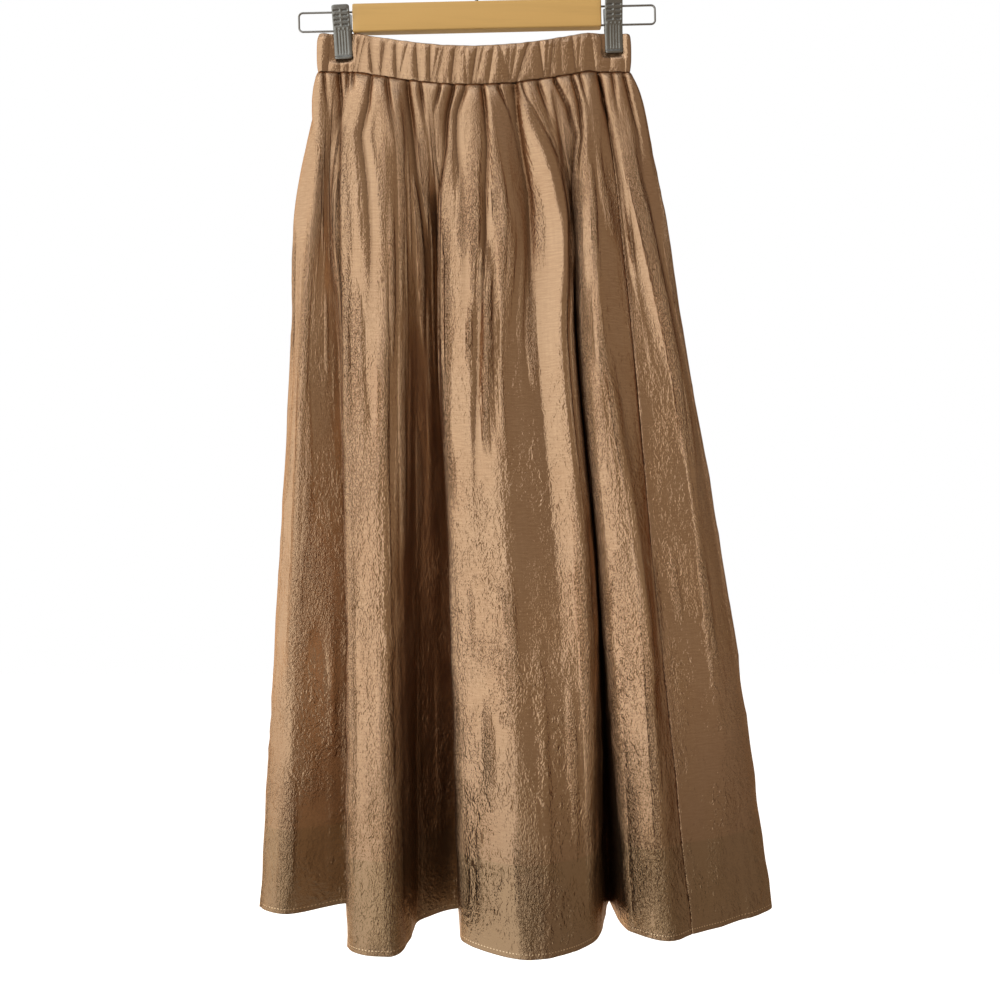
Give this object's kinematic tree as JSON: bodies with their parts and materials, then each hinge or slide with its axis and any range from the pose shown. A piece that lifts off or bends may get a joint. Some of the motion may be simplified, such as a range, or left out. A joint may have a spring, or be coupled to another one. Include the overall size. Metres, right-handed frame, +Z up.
{
  "type": "maxi skirt on clip hanger",
  "caption": "Gathered maxi skirt in crinkled satin with a ruched elastic waistband, hanging in deep folds from a wooden hanger with metal clips.",
  "frame": {"origin": "inside top of the hanger's hook, where a rod carries the whole part", "axes": "+Z up, -Y out of the front of the skirt towards the viewer, +X to the viewer's right"},
  "size_m": [0.5116, 0.2248, 0.9976],
  "materials": {
    "satin": "crinkled satin, champagne bronze",
    "wood": "pale lacquered wood",
    "steel": "bright wire",
    "clip_steel": "pressed plated sheet"
  },
  "bodies": {
    "root": {"skirt_front": "satin", "skirt_back": "satin", "waistband": "satin", "hanger_bar": "wood", "hanger_hook": "steel", "rail_left": "steel", "rail_right": "steel", "clip_left_front": "clip_steel", "clip_left_back": "clip_steel", "clip_left_sleeve": "clip_steel", "clip_right_front": "clip_steel", "clip_right_back": "clip_steel", "clip_right_sleeve": "clip_steel"}
  },
  "joints": []
}
